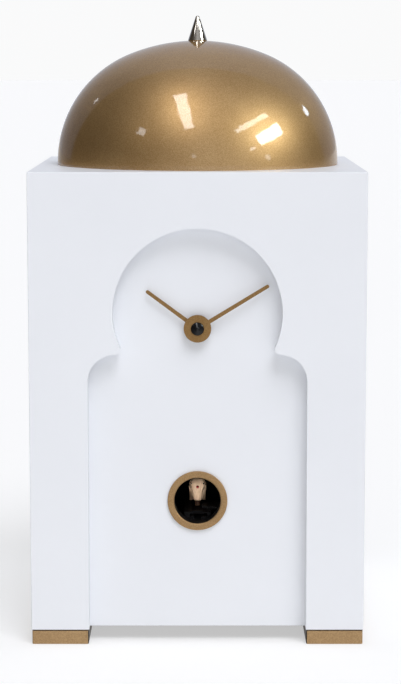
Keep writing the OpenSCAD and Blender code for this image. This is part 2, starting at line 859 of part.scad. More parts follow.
module rotor() {
    color("dimgray") {
        arbor(rotor_p, 0.5);
        on_axis(rotor_p, fifth_layer - 0.2)
            gear(rotor_n, rotor_m, 1, leaf_add, mesh_phase(0, fifth_n, rotor_n, rotor_dir));
        bar_on_axis(rotor_p, magnet_r, stator_layer - 0.6, stator_layer + 1.4);
    }
}

module cuckoo_housing() {
    gear_r = drive_gear_m * drive_gear_n / 2 + 1;
    front_stop_y = drive_y - gear_r;
    rear_start_y = drive_y + gear_r;
    shelf_z = slide_z - slip;
    lip_z = slide_top_z + slip;
    rack_tip_x = rack_x + rack_add * rack_m;
    guide_y1 = slide_back_y + 1;
    color("black")
        difference() {
            union() {
                difference() {
                    block([house_x0, panel_back_y, house_z0], [house_x1, house_y1, house_z1]);
                    block([house_x0 + house_wall, panel_back_y + house_wall, house_z0 + house_wall],
                        [house_x1 - house_wall, house_y1 - house_wall, house_z1 - house_wall]);
                }
                pin_y(0, port_z, collar_r, panel_y - collar_out, panel_back_y + cut);
                // Shelves under both edges of the platform
                for (x = [-10, 3])
                    block([x, panel_back_y + house_wall, house_z0 + 1], [x + 7, guide_y1, shelf_z]);
                // Guide and lip along the plain edge
                block([-10, panel_back_y + house_wall, house_z0 + 1], [-slide_w - slip, guide_y1, lip_z + 1]);
                block([-10, panel_back_y + house_wall, lip_z], [-slide_w + 1.5, guide_y1, lip_z + 1]);
                // Guides and lips along the toothed edge, in front of and behind the drive gear
                for (part = [[panel_back_y + house_wall, front_stop_y], [rear_start_y, guide_y1]]) {
                    block([rack_tip_x + slip, part[0], house_z0 + 1], [rack_tip_x + 2.5, part[1], lip_z + 1]);
                    block([slide_w - 2, part[0], lip_z], [rack_tip_x + 2.5, part[1], lip_z + 1]);
                }
                // Boss around the post of the drive gear
                translate([drive_x, drive_y, house_z0 + 1]) cylinder(r = 3, h = slide_z - house_z0 - 1.4, $fn = 48);
            }
            pin_y(0, port_z, bore_r, panel_y - collar_out - cut, panel_back_y + house_wall + cut);
            translate([drive_x, drive_y, house_z0 - cut])
                cylinder(r = drive_post_r + run, h = slide_z - house_z0 + cut, $fn = 48);
            translate([motor_x, drive_y, house_z0 - cut]) cylinder(r = 3.1, h = house_wall + 2 * cut, $fn = 48);
        }
}

module drive_motor() {
    color("silver")
        translate([motor_x, drive_y, house_z0])
            difference() {
                union() {
                    translate([0, 0, -motor_h]) cylinder(r = motor_r, h = motor_h);
                    translate([0, 0, -0.5]) cylinder(r = 3, h = house_wall + 0.5, $fn = 48);
                }
                translate([0, 0, -shaft_depth - 0.2])
                    cylinder(r = motor_shaft_r + run, h = shaft_depth + house_wall + cut, $fn = 48);
            }
}

module motor_pinion() {
    low = slide_top_z + 0.5;
    color("goldenrod")
        translate([motor_x, drive_y, 0]) {
            translate([0, 0, low])
                gear(motor_n, drive_gear_m, 2.5, 1, mesh_phase(0, drive_gear_n, motor_n, 0));
            translate([0, 0, house_z0 - shaft_depth])
                cylinder(r = motor_shaft_r, h = low - house_z0 + shaft_depth + 0.5, $fn = 48);
        }
}

module drive_gear() {
    color("dimgray")
        translate([drive_x, drive_y, 0]) {
            translate([0, 0, slide_z + 0.1]) gear(drive_n, rack_m, slide_t - 0.1, 1, 180);
            translate([0, 0, slide_top_z + 0.7]) gear(drive_gear_n, drive_gear_m, 1.8, 0.6);
            translate([0, 0, slide_top_z - 0.1]) cylinder(r = 4, h = 1, $fn = 48);
            translate([0, 0, house_z0 + 0.5]) cylinder(r = drive_post_r, h = slide_z - house_z0, $fn = 48);
        }
}

// Outline of the sliding platform in the XY plane, with its rack along the right edge
module platform_outline() {
    pitch = PI * rack_m;
    root_x = rack_x - 1.25 * rack_m;
    high = rack_add * rack_m;
    low = 1.25 * rack_m + 0.2;
    half = pitch / 4 - flank_slack * rack_m / 4;
    first = ceil((slide_front_y + 5 - drive_y) / pitch);
    last = floor((slide_back_y - 2 - drive_y) / pitch);
    square_w = slide_w + root_x;
    translate([-slide_w, slide_front_y]) square([square_w, slide_back_y - slide_front_y]);
    for (i = [first : last - 1])
        translate([rack_x, drive_y + (i + 0.5) * pitch])
            polygon([[-low, -half - low * tan(pressure)], [high, -half + high * tan(pressure)],
                [high, half - high * tan(pressure)], [-low, half + low * tan(pressure)]]);
}

module bird_carriage() {
    color("dimgray")
        difference() {
            translate([0, 0, slide_z]) linear_extrude(slide_t) platform_outline();
            translate([0, peg_y, slide_z - cut]) cylinder(r = peg_r, h = slide_t + 2 * cut, $fn = 48);
        }
}

module bird_peg() {
    color("saddlebrown")
        translate([0, peg_y, slide_z]) cylinder(r = peg_r, h = bird_z - slide_z - 2, $fn = 48);
}

// Half section of the bird's body along its length: [radius, distance behind the breast]
function egg_r(t) = 6.2 * pow(sin(180 * pow(t, 0.62)), 0.8) + 1.2 * (1 - t);
module bird_body() {
    length = 36;
    outline = [for (i = [1 : 11]) [egg_r(i / 12), length * i / 12]];
    color("burlywood")
        difference() {
            union() {
                intersection() {
                    union() {
                        translate([0, bird_front_y, bird_z])
                            rotate([-90, 0, 0])
                                rotate_extrude($fn = 64)
                                    polygon(concat([[0, 0.6]], outline, [[0, length]]));
                        // Breast below the head
                        translate([0, bird_head_y, bird_z])
                            rotate_extrude($fn = 64)
                                polygon([[0, -6.1], [3.35, -6.1], [4.8, -3.5], [5.9, 0], [6.3, 6], [0, 6]]);
                    }
                    block([-bird_flat_x, front_y, port_z - 20], [bird_flat_x, back_y, port_z + 20]);
                }
                intersection() {
                    translate([0, bird_head_y, bird_head_z]) sphere(r = bird_head_r, $fn = 64);
                    block([-bird_head_r - 1, front_y, bird_head_z - 1], [bird_head_r + 1, back_y, port_z + 20]);
                }
            }
            translate([0, peg_y, bird_z - 12]) cylinder(r = peg_r, h = 10, $fn = 48);
            beak_cone();
            eye_balls();
        }
}

// A pointed leaf, from two arcs that cross at both tips
module leaf(length, width) {
    r = (length * length + width * width) / (4 * width);
    intersection_for (s = [-1, 1])
        translate([s * (r - width / 2), 0]) circle(r = r, $fn = 96);
}

module bird_wings() {
    color("burlywood")
        for (s = [-1, 1])
            translate([s > 0 ? bird_flat_x : -bird_flat_x - wing_t, bird_front_y + 11, bird_head_z - 8.2])
                rotate([45, 0, 0])
                    rotate([90, 0, 90]) linear_extrude(wing_t) leaf(19.4, 9);
}

module beak_cone() {
    translate([0, bird_front_y + 1.2, bird_z + 4.8])
        rotate([90, 0, 0]) cylinder(r1 = 1.2, r2 = 0.4, h = 3, $fn = 32);
}

module bird_beak() {
    color("firebrick") beak_cone();
}

module eye_balls() {
    for (s = [-1, 1])
        translate([s * eye_x, bird_head_y - sqrt(bird_head_r * bird_head_r - eye_x * eye_x - 1), bird_head_z + 1])
            sphere(r = eye_r, $fn = 32);
}

module bird_eyes() {
    color("black") eye_balls();
}

module speaker_frame() {
    color("silver") {
        translate([0, cover_y, speaker_z])
            rotate([90, 0, 0])
                rotate_extrude()
                    polygon([[speaker_r - 3, 0], [speaker_r, 0], [speaker_r, 1.2], [speaker_r - 1.5, 1.2],
                        [15.5, 12], [8, 12], [8, 10.8], [14.9, 10.8], [speaker_r - 3, 1]]);
        // Solder tag
        block([18.6, cover_y - speaker_tag, speaker_z - 1.5], [21.4, cover_y - 6.8, speaker_z + 1.5]);
    }
}

module speaker_cone() {
    color("black")
        translate([0, cover_y, speaker_z])
            rotate([90, 0, 0])
                rotate_extrude()
                    polygon([[0, 5.2], [6, 6.8], [7.4, 8], [speaker_r - 5, 0.3], [speaker_r - 3, 0.3],
                        [speaker_r - 3, 0.8], [speaker_r - 4.8, 0.8], [7.4, 9], [5, 8.2], [0, 6.2]]);
}

module speaker_magnet() {
    color("gray")
        translate([0, cover_y - 12, speaker_z]) rotate([90, 0, 0]) cylinder(r = 13, h = 7);
}

module control_board() {
    color("darkgreen")
        difference() {
            union() {
                block([board_x0, board_y, board_z0], [board_x1, board_y + board_thick, board_z1]);
                for (x = [board_x0 + 4, board_x1 - 4]) for (z = [board_z0 + 4, board_z1 - 4])
                    pin_y(x, z, 3, board_y + board_thick - 0.1, cover_y);
                block([control_x - 8, board_y + 1, switch_z - 4], [control_x + 8, board_y + 5, switch_z + 4]);
                pin_y(control_x, volume_z, 8, board_y + 1, board_y + 6);
                for (x = [board_x0 + 6, board_x0 + 20])
                    block([x, board_y - 3, board_z0 + 26], [x + 10, board_y + 0.5, board_z0 + 33]);
                block([control_x + 2, board_y - 1.5, board_z0 + 24], [control_x + 14, board_y + 0.5, board_z0 + 36]);
            }
            block([control_x - 4.2 - switch_travel, board_y + 3, switch_z - 1.6],
                [control_x + 4.2 + switch_travel, board_y + 5.5, switch_z + 1.6]);
            pin_y(control_x, volume_z, 2 + run, board_y + 2.5, board_y + 7);
        }
}

module mode_switch() {
    color("ivory") {
        block([control_x - 4, board_y + 3.2, switch_z - 1.5], [control_x + 4, board_y + 4.8, switch_z + 1.5]);
        block([control_x - 2, board_y + 4.6, switch_z - 1.5], [control_x + 2, cover_face_y + 1.5, switch_z + 1.5]);
    }
}

module volume_knob() {
    grips = 20;
    color("ivory") {
        pin_y(control_x, volume_z, 2, board_y + 2.8, cover_face_y + 1);
        difference() {
            pin_y(control_x, volume_z, 8, cover_face_y + 0.3, back_y - 0.6);
            for (i = [0 : grips - 1])
                pin_y(control_x + 8.4 * cos(i * 360 / grips), volume_z + 8.4 * sin(i * 360 / grips), 0.8,
                    cover_face_y, back_y);
            block([control_x - 0.5, back_y - 1.2, volume_z + 2], [control_x + 0.5, back_y, volume_z + 9]);
        }
    }
}

module battery_box() {
    color("dimgray")
        difference() {
            block([-box_x, box_y, box_z], [box_x, cover_y, box_z + box_h]);
            block([-box_x + box_wall, box_y + box_wall, box_z + box_wall],
                [box_x - box_wall, cover_y + cut, box_z + box_h - box_wall]);
        }
}

// Heights of the two cells
cell_rows = [box_z + box_h / 2 - cell_pitch / 2, box_z + box_h / 2 + cell_pitch / 2];

module battery_cells() {
    color("darkorange")
        for (i = [0, 1])
            translate([0, cell_y, cell_rows[i]])
                rotate([0, i == 0 ? 90 : -90, 0]) {
                    translate([0, 0, -cell_l / 2]) cylinder(r = cell_r, h = cell_l - 1.5);
                    translate([0, 0, cell_l / 2 - 1.6]) cylinder(r = 3.5, h = 1.6, $fn = 48);
                }
}

module battery_contacts() {
    plate_x = box_x - box_wall;
    leaf_t = 0.5;
    gap = plate_x - cell_l / 2;
    color("gold")
        for (s = [-1, 1]) for (z = cell_rows)
            translate([0, cell_y + 4, z])
                rotate([90, 0, 0])
                    linear_extrude(8)
                        polygon([[s * plate_x, -8], [s * plate_x, 8], [s * (plate_x - leaf_t), 8],
                            [s * (plate_x - leaf_t), -6], [s * (plate_x - gap), 0.5],
                            [s * (plate_x - gap), -0.5], [s * (plate_x - leaf_t), -8]]);
}

module battery_door() {
    y = cover_face_y + door_gap;
    color("dimgray")
        difference() {
            union() {
                block([-door_x, y, door_z], [door_x, y + door_t, door_z + door_h]);
                for (i = [0 : 4])
                    block([-12, y + door_t - 0.1, door_z + door_h - 16 + 2.5 * i],
                        [12, y + door_t + 0.8, door_z + door_h - 15 + 2.5 * i]);
            }
        }
}

module battery_lead() {
    color("red") tube(battery_route, lead_r);
}

module speaker_lead() {
    color("black") tube(speaker_route, lead_r);
}

module movement_lead() {
    color("black") tube(movement_route, lead_r);
}

module motor_lead() {
    color("red") tube(motor_route, lead_r);
}

front_fascia();
dial_panel();
side_left();
side_right();
top_panel();
bottom_panel();
back_battens();
back_cover();
back_cover_screws();
foot_left();
foot_right();
dome_shell();
dome_disc();
finial();
tie_rod();
tie_rod_nut();
cuckoo_ring();
movement_front();
movement_back();
movement_washer();
fixing_nut();
movement_stator();
movement_coil();
movement_board();
minute_arbor();
centre_wheel();
minute_hand();
hand_nut();
hour_wheel();
hour_hand();
minute_wheel();
setting_knob();
third_wheel();
seconds_wheel();
fifth_wheel();
rotor();
cuckoo_housing();
drive_motor();
motor_pinion();
drive_gear();
bird_carriage();
bird_peg();
bird_body();
bird_wings();
bird_beak();
bird_eyes();
speaker_frame();
speaker_cone();
speaker_magnet();
control_board();
mode_switch();
volume_knob();
battery_box();
battery_cells();
battery_contacts();
battery_door();
battery_lead();
speaker_lead();
movement_lead();
motor_lead();
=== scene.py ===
import json
import math

import bmesh
import bpy
from mathutils import Matrix, Vector


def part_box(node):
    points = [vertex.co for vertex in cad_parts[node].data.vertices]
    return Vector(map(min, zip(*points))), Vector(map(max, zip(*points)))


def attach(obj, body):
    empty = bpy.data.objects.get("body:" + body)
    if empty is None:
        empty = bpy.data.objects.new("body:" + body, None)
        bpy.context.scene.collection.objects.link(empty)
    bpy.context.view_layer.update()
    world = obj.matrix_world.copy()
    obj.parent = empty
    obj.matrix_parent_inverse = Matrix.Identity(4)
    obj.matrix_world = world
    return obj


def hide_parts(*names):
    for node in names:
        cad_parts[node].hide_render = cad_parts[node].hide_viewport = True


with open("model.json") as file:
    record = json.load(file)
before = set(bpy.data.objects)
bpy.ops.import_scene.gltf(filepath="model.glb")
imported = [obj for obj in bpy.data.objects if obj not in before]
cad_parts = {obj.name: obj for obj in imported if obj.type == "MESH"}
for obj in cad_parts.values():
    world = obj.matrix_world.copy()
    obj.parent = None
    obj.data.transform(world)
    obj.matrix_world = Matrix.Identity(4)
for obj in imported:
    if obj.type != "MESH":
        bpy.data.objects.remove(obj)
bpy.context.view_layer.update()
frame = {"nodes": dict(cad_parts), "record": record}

# Looks of the cuckoo clock: lacquered case, bronze dome, hands, the wooden bird and the works inside

MM = 0.001

# Sizes of visible shapes, in millimetres and degrees
EDGE_R = 0.55           # rounding of the lacquered case edges
SHOULDER_R = 20.5       # round corners of the niche's shoulders
HEAD_R = 63.0           # round head of the niche
NECK_R = 3.648          # fillets between the head and the shoulders
SHOULDER_Z = 220.5      # height of the shoulders above the floor
HEAD_Z = 251.0          # height of the middle of the head
NICHE_HALF_W = 81.5     # half width of the straight part of the niche
DOME_SIDE_R = 91.5      # lower arc of the dome's profile
DOME_SIDE_Z = 1.1       # height of that arc's middle above the case
DOME_T = 1.8            # thickness of the dome's shell
DOME_CUT = 0.25         # how much of the crown the hole for the rod takes off
HAND_W = 2.6            # width of both hands
HUB_R = 10.2            # radius of their hubs
MINUTE_L = 62.0         # length of the minute hand
HOUR_L = 47.3           # length of the hour hand
MINUTE_ANGLE = 58.6     # clockwise from twelve
HOUR_ANGLE = 306.5
AXIS_Z = 239.0          # height of the hands' axis
PORT_Z = 108.0          # height of the middle of the bird's port

# The camera, in millimetres and degrees
CAMERA_AT = (2.27, -1640.3, 436.2)
CAMERA_DIP = 7.748      # how far it looks down
CAMERA_LENS = 108.9     # on a sensor 36 mm wide

# The stage, in metres
FLOOR_HALF_W = 60.0
BACKDROP_R = 45.0       # within the camera's clip end
BACKDROP_TOP = 60.0
BACKDROP_SIDES = 96
CLIP_END = 50.0
WINDOW_FAR = 2.5        # distance of the windows from the dome
WINDOW_AIM = Vector((0, -95 * MM, 390 * MM))     # the middle of the dome's lit side

# Bright rectangles that only show in reflections: azimuth, elevation, width and height in degrees as seen from the
# dome, then radiance, colour and spin. Azimuth 0 is in front of the clock and 90 on its right.
WINDOWS = {
    "tall_window": (-16, 54, 8.5, 38, 8.5, (1.0, 0.985, 0.965), 20),
    "side_window": (67, 24, 25, 9.5, 16, (0.94, 1.0, 0.98), 14),
    "side_tube": (55, 37, 34, 4.0, 8, (0.96, 1.0, 0.95), 14),
    "far_lamp": (-52, 29, 7, 6, 4.5),
    "back_lamp": (-126, 29, 3, 3, 3),
    "low_lamp": (47, 14, 4, 3, 6),
    "door_lamp": (59, 6, 4, 4, 4),
    "front_lamp": (-3, 9, 3, 3, 3),
    "blue_lamp": (123, 24, 5, 4, 9, (0.75, 0.88, 1.0)),
}

# Broad lights that have no reflection of their own: azimuth, elevation, apparent size, strength and colour
SOFT_SUNS = {
    "soft_key": (24, 57, 36, 1.66, (0.94, 0.95, 1.0)),
    "soft_front": (-4, 12, 40, 0.14),
    "soft_top": (0, 80, 60, 0.42),
}


# ---------------------------------------------------------------- camera, floor and light

def link(obj):
    bpy.context.scene.collection.objects.link(obj)
    return obj


def make_camera():
    cam = bpy.data.cameras.new("camera")
    cam.sensor_width = 36
    cam.lens = CAMERA_LENS
    cam.clip_end = CLIP_END
    obj = link(bpy.data.objects.new("camera", cam))
    obj.location = [v * MM for v in CAMERA_AT]
    obj.rotation_euler = (math.radians(90 - CAMERA_DIP), 0, 0)
    bpy.context.scene.camera = obj


def toward(azimuth, elevation):
    """Direction to a light. Azimuth 0 is in front of the clock and 90 on its right."""
    a, e = math.radians(azimuth), math.radians(elevation)
    return Vector((math.sin(a) * math.cos(e), -math.cos(a) * math.cos(e), math.sin(e)))


def shining_from(way):
    """Rotation of a light that stands that way and shines back."""
    return (-way).to_track_quat("-Z", "Y").to_euler()


def add_light(name, kind, color, unseen):
    """A light that the listed kinds of ray don't see."""
    light = bpy.data.lights.new(name, kind)
    light.color = color
    obj = link(bpy.data.objects.new(name, light))
    for ray in unseen:
        setattr(obj, "visible_" + ray, False)
    return obj, light


def window(name, azimuth, elevation, wide, tall, radiance, color=(1, 1, 1), spin=0.0):
    """One row of WINDOWS."""
    obj, light = add_light(name, "AREA", color, ("camera", "diffuse"))
    light.shape = "RECTANGLE"
    light.size = 2 * WINDOW_FAR * math.tan(math.radians(wide / 2))
    light.size_y = 2 * WINDOW_FAR * math.tan(math.radians(tall / 2))
    light.energy = radiance * math.pi * light.size * light.size_y
    way = toward(azimuth, elevation)
    obj.location = WINDOW_AIM + way * WINDOW_FAR
    obj.rotation_euler = shining_from(way)
    obj.rotation_euler.rotate_axis("Z", math.radians(spin))


def soft_sun(name, azimuth, elevation, angle, strength, color=(1, 1, 1)):
    """One row of SOFT_SUNS."""
    obj, light = add_light(name, "SUN", color, ("glossy",))
    light.angle = math.radians(angle)
    light.energy = strength
    obj.rotation_euler = shining_from(toward(azimuth, elevation))


def port_glow():
    """A small round light in the port's plane that shines inwards, on the bird at rest."""
    wide, front, drop, radiance = 16, -111, 3, 11
    obj, light = add_light("port_glow", "AREA", (1.0, 0.97, 0.93), ("camera", "glossy"))
    light.shape = "DISK"
    light.size = wide * MM
    light.energy = radiance * math.pi * math.pi * (light.size / 2) ** 2
    obj.location = (0, front * MM, (PORT_Z - drop) * MM)
    obj.rotation_euler = (math.radians(-90), 0, math.radians(180))


def make_world():
    """A pale studio wall behind the clock, and a dimmer room in front that is darkest on the left."""
    world = bpy.data.worlds.new("studio")
    bpy.context.scene.world = world
    world.use_nodes = True
    world.node_tree.nodes.clear()
    sky = NodeTree(world.node_tree)
    out = sky.node("ShaderNodeOutputWorld")
    back = sky.node("ShaderNodeBackground")
    way = sky.axes("Generated")
    # From 0 on the far left to 1 on the far right, and how far behind the clock, a little more so overhead
    across = sky.math("MULTIPLY", sky.math("ADD", way["X"], 1.0), 0.5)
    behind = sky.math("ADD", way["Y"], sky.math("MULTIPLY", way["Z"], 0.3))
    room = sky.ramp(across, [(0.05, (0.055, 0.046, 0.036)), (0.25, (0.20, 0.187, 0.175)), (0.5, (0.48, 0.475, 0.47)),
                             (0.8, (0.33, 0.325, 0.32)), (0.97, (0.08, 0.076, 0.07))])
    wall = sky.ramp(behind, [(0.575, (0, 0, 0)), (0.60, (0.6, 0.6, 0.6))])
    pale = sky.ramp(behind, [(0.62, (0.50, 0.66, 0.98)), (0.90, (0.72, 0.78, 0.90))])
    narrow = sky.ramp(sky.math("ABSOLUTE", way["X"], 0.0),
                      [(0.20, (1, 1, 1)), (0.55, (0.5, 0.5, 0.5)), (0.95, (0.3, 0.3, 0.3))])
    above = sky.mix(sky.math("MULTIPLY", wall, narrow), room, pale)
    # Below the horizon, which only reflections see: a pale floor that darkens to both sides
    ground = sky.ramp(across, [(0.05, (0.10, 0.09, 0.08)), (0.28, (0.48, 0.47, 0.46)), (0.5, (1, 1, 1)),
                               (0.78, (0.85, 0.86, 0.86)), (0.97, (0.16, 0.155, 0.15))])
    whole = sky.mix(sky.math("LESS_THAN", way["Z"], 0.0), above, ground)
    sky.links.new(whole, back.inputs["Color"])
    sky.links.new(back.outputs["Background"], out.inputs["Surface"])


def make_stage():
    """White paper under the clock, lit a little from below, that reflections don't see."""
    mesh = bpy.data.meshes.new("floor")
    s = FLOOR_HALF_W
    mesh.from_pydata([(-s, -s, 0), (s, -s, 0), (s, s, 0), (-s, s, 0)], [], [(0, 1, 2, 3)])
    floor = link(bpy.data.objects.new("floor", mesh))
    mesh.materials.append(paper("floor_paper", 0.50, 0.1, (1, 1, 1), 0.50))
    floor.visible_glossy = False


def make_backdrop():
    """White paper far all around the clock that lights and reflects nothing."""
    sides, bottom = BACKDROP_SIDES, -1
    ring = [(BACKDROP_R * math.cos(2 * math.pi * k / sides), BACKDROP_R * math.sin(2 * math.pi * k / sides))
            for k in range(sides)]
    points = [(x, y, z) for z in (bottom, BACKDROP_TOP) for x, y in ring]
    faces = [(k, (k + 1) % sides, sides + (k + 1) % sides, sides + k) for k in range(sides)]
    mesh = bpy.data.meshes.new("backdrop")
    mesh.from_pydata(points, [], faces)
    backdrop = link(bpy.data.objects.new("backdrop", mesh))
    mesh.materials.append(paper("backdrop_paper", 0, 0, (0.955, 0.957, 0.96), 1))
    for kind in ("diffuse", "glossy", "shadow", "transmission"):
        setattr(backdrop, "visible_" + kind, False)


def make_lights():
    for name, values in WINDOWS.items():
        window(name, *values)
    for name, values in SOFT_SUNS.items():
        soft_sun(name, *values)
    port_glow()


# ---------------------------------------------------------------- materials

class NodeTree:
    """A node tree under construction, of a material or of the world."""

    def __init__(self, tree):
        self.nodes, self.links = tree.nodes, tree.links
        self.coord = self.nodes.new("ShaderNodeTexCoord")

    def node(self, kind, **values):
        node = self.nodes.new(kind)
        for key, value in values.items():
            setattr(node, key, value)
        return node

    def fill(self, socket, value):
        """Sets a socket to a number, or links it to an output."""
        if isinstance(value, float):
            socket.default_value = value
        else:
            self.links.new(value, socket)

    def ramp(self, fac, stops):
        node = self.node("ShaderNodeValToRGB")
        elements = node.color_ramp.elements
        while len(elements) < len(stops):
            elements.new(0.5)
        for element, (position, color) in zip(elements, stops):
            element.position = position
            element.color = (*color, 1)
        self.links.new(fac, node.inputs["Fac"])
        return node.outputs["Color"]

    def mix(self, fac, a, b):
        node = self.node("ShaderNodeMix", data_type="RGBA")
        self.fill(node.inputs["Factor"], fac)
        self.links.new(a, node.inputs["A"])
        self.links.new(b, node.inputs["B"])
        return node.outputs["Result"]

    def math(self, operation, a, b):
        node = self.node("ShaderNodeMath", operation=operation)
        for socket, value in zip(node.inputs, (a, b)):
            self.fill(socket, value)
        return node.outputs[0]

    def axes(self, output):
        """The X, Y and Z parts of a texture coordinate."""
        node = self.node("ShaderNodeSeparateXYZ")
        self.links.new(self.coord.outputs[output], node.inputs[0])
        return node.outputs


class Shader(NodeTree):
    """A node material under construction."""

    def __init__(self, name):
        self.mat = bpy.data.materials.new(name)
        self.mat.use_nodes = True
        super().__init__(self.mat.node_tree)
        self.bsdf = self.nodes["Principled BSDF"]

    def set(self, **values):
        for key, value in values.items():
            self.bsdf.inputs[key.replace("_", " ")].default_value = value
        return self

    def scaled(self, scale):
        mapping = self.node("ShaderNodeMapping")
        mapping.inputs["Scale"].default_value = scale
        self.links.new(self.coord.outputs["Object"], mapping.inputs["Vector"])
        return mapping.outputs["Vector"]

    def noise(self, scale, detail=3.0, rough=0.55, stretch=(1, 1, 1)):
        """Noise with features of about 1/scale metres, stretched along the axes."""
        tex = self.node("ShaderNodeTexNoise")
        tex.inputs["Scale"].default_value = scale
        tex.inputs["Detail"].default_value = detail
        tex.inputs["Roughness"].default_value = rough
        self.links.new(self.scaled(stretch), tex.inputs["Vector"])
        return tex.outputs["Fac"]

    def cells(self, scale):
        """Small cells of about 1/scale metres, each with its own random colour."""
        tex = self.node("ShaderNodeTexVoronoi")
        tex.inputs["Scale"].default_value = scale
        self.links.new(self.scaled((1, 1, 1)), tex.inputs["Vector"])
        return tex.outputs["Color"]

    def between(self, fac, low, high, start=0.0, end=1.0):
        """Takes the range from start to end to the one from low to high."""
        node = self.node("ShaderNodeMapRange")
        node.inputs["From Min"].default_value = start
        node.inputs["From Max"].default_value = end
        node.inputs["To Min"].default_value = low
        node.inputs["To Max"].default_value = high
        self.links.new(fac, node.inputs["Value"])
        return node.outputs["Result"]

    def paint_shade(self, mask, color):
        """Swaps the colour for a flat dark colour of painted shade where the mask is 1."""
        socket = self.bsdf.inputs["Base Color"]
        painted = socket.links[0].from_socket
        mix = self.node("ShaderNodeMix", data_type="RGBA")
        self.links.new(mask, mix.inputs["Factor"])
        self.links.new(painted, mix.inputs["A"])
        mix.inputs["B"].default_value = (*color, 1)
        self.links.new(mix.outputs["Result"], socket)

    def color(self, output):
        self.links.new(output, self.bsdf.inputs["Base Color"])

    def rough(self, output):
        self.links.new(output, self.bsdf.inputs["Roughness"])

    def bump(self, *layers):
        """Stacked bumps, each (height output, distance in metres, strength)."""
        normal = None
        for height, distance, strength in layers:
            node = self.node("ShaderNodeBump")
            node.inputs["Strength"].default_value = strength
            node.inputs["Distance"].default_value = distance
            self.links.new(height, node.inputs["Height"])
            if normal is not None:
                self.links.new(normal, node.inputs["Normal"])
            normal = node.outputs["Normal"]
        self.links.new(normal, self.bsdf.inputs["Normal"])
        return self


def paper(name, base, specular, glow, strength):
    """Plain paper of the stage, with a light of its own."""
    s = Shader(name).set(Base_Color=(base, base, base, 1), Specular_IOR_Level=specular, Roughness=0.8)
    return s.set(Emission_Color=(*glow, 1), Emission_Strength=strength).mat


def lacquer():
    """White lacquer with painted shade: near-black on the underside of the case, which darkens the shadow on the
    floor beneath it.
    """
    underside_z, downward = 12 * MM, -0.5
    s = Shader("case_lacquer").set(Specular_IOR_Level=0.45, Coat_Weight=0.12, Coat_Roughness=0.25)
    cloud = s.noise(9, 4)
    fine = s.noise(420, 2)
    s.color(s.ramp(cloud, [(0.3, (0.837, 0.857, 0.897)), (0.7, (0.857, 0.877, 0.915))]))
    s.rough(s.between(fine, 0.36, 0.48, 0.3, 0.7))
    place, facing = s.axes("Object"), s.axes("Normal")
    # Painted shade: downward faces at the foot of the case turn near-black
    low_down = s.math("LESS_THAN", place["Z"], underside_z)
    s.paint_shade(s.math("MULTIPLY", low_down, s.math("LESS_THAN", facing["Z"], downward)), (0.05, 0.05, 0.052))
    return s.bump((s.noise(650, 2), 0.00003, 0.25), (s.noise(60, 2), 0.0002, 0.08)).mat


def bare_board(name, low, high):
    """Pressed fibre: unpainted board, black board or speaker paper."""
    s = Shader(name).set(Specular_IOR_Level=0.25)
    fibre = s.noise(900, 4, 0.65, (1, 1, 0.4))
    patch = s.noise(35, 3)
    s.color(s.mix(0.45, s.ramp(fibre, [(0.3, low), (0.72, high)]), s.ramp(patch, [(0.3, low), (0.7, high)])))
    s.rough(s.between(fibre, 0.7, 0.92, 0.3, 0.7))
    return s.bump((fibre, 0.0001, 0.35)).mat


def bronze(name, dark, light, gloss, metallic, flake=1500, coat=0.0, coat_rough=0.05):
    """Bronze paint: a two-tone flake in a tinted base, with an optional clear coat."""
    s = Shader(name).set(Metallic=metallic, Coat_Weight=coat, Coat_Roughness=coat_rough, Specular_Tint=(*dark, 1))
    grain = s.cells(flake)
    tint = s.node("ShaderNodeSeparateColor")
    s.links.new(grain, tint.inputs["Color"])
    cloud = s.noise(14, 3)
    flakes = s.ramp(tint.outputs["Red"], [(0.05, dark), (0.95, light)])
    base = s.ramp(cloud, [(0.35, dark), (0.65, light)])
    s.color(s.mix(0.3, flakes, base))
    s.rough(s.between(tint.outputs["Green"], gloss - 0.06, gloss + 0.06))
    if coat:
        # A lively coat with a faint orange peel of its own
        s.set(Coat_IOR=1.62)
        peel = s.node("ShaderNodeBump")
        peel.inputs["Distance"].default_value = 0.00009
        s.links.new(s.noise(130, 2), peel.inputs["Height"])
        s.links.new(peel.outputs["Normal"], s.bsdf.inputs["Coat Normal"])
    return s.bump((tint.outputs["Blue"], 0.00004, 0.12), (s.noise(300, 2), 0.00002, 0.05))


def metal(name, dark, light, low, high, stretch=(1, 1, 1), scale=260):
    """Bare metal with fine lines in it, its roughness between low and high."""
    s = Shader(name).set(Metallic=1.0)
    lines = s.noise(scale, 4, 0.6, stretch)
    s.color(s.ramp(lines, [(0.3, dark), (0.7, light)]))
    s.rough(s.between(lines, low, high, 0.3, 0.7))
    return s.bump((lines, 0.00002, 0.2)).mat


def plastic(name, low, high, rough=0.45, texture=900, depth=0.00003, strength=0.3, **extra):
    """Moulded plastic with a fine grain."""
    s = Shader(name).set(**extra)
    grain = s.noise(texture, 3)
    cloud = s.noise(40, 3)
    s.color(s.ramp(cloud, [(0.3, low), (0.7, high)]))
    s.rough(s.between(grain, rough - 0.07, rough + 0.07, 0.3, 0.7))
    return s.bump((grain, depth, strength)).mat


def wood(name, dark, light):
    """Upright grain with wider growth rings and fine pores."""
    stretch, scale, rough = (1, 1, 0.12), 260, 0.6
    s = Shader(name).set(Specular_IOR_Level=0.3)
    grain = s.noise(scale, 5, 0.6, stretch)
    rings = s.noise(scale * 0.3, 3, 0.5, stretch)
    pores = s.noise(scale * 7, 2, 0.5, stretch)
    tone = s.mix(0.5, s.ramp(grain, [(0.32, dark), (0.66, light)]), s.ramp(rings, [(0.35, dark), (0.65, light)]))
    s.color(s.mix(0.25, tone, s.ramp(pores, [(0.4, dark), (0.6, light)])))
    s.rough(s.between(grain, rough - 0.08, rough + 0.1, 0.3, 0.7))
    return s.bump((grain, 0.00006, 0.4), (pores, 0.00003, 0.3)).mat


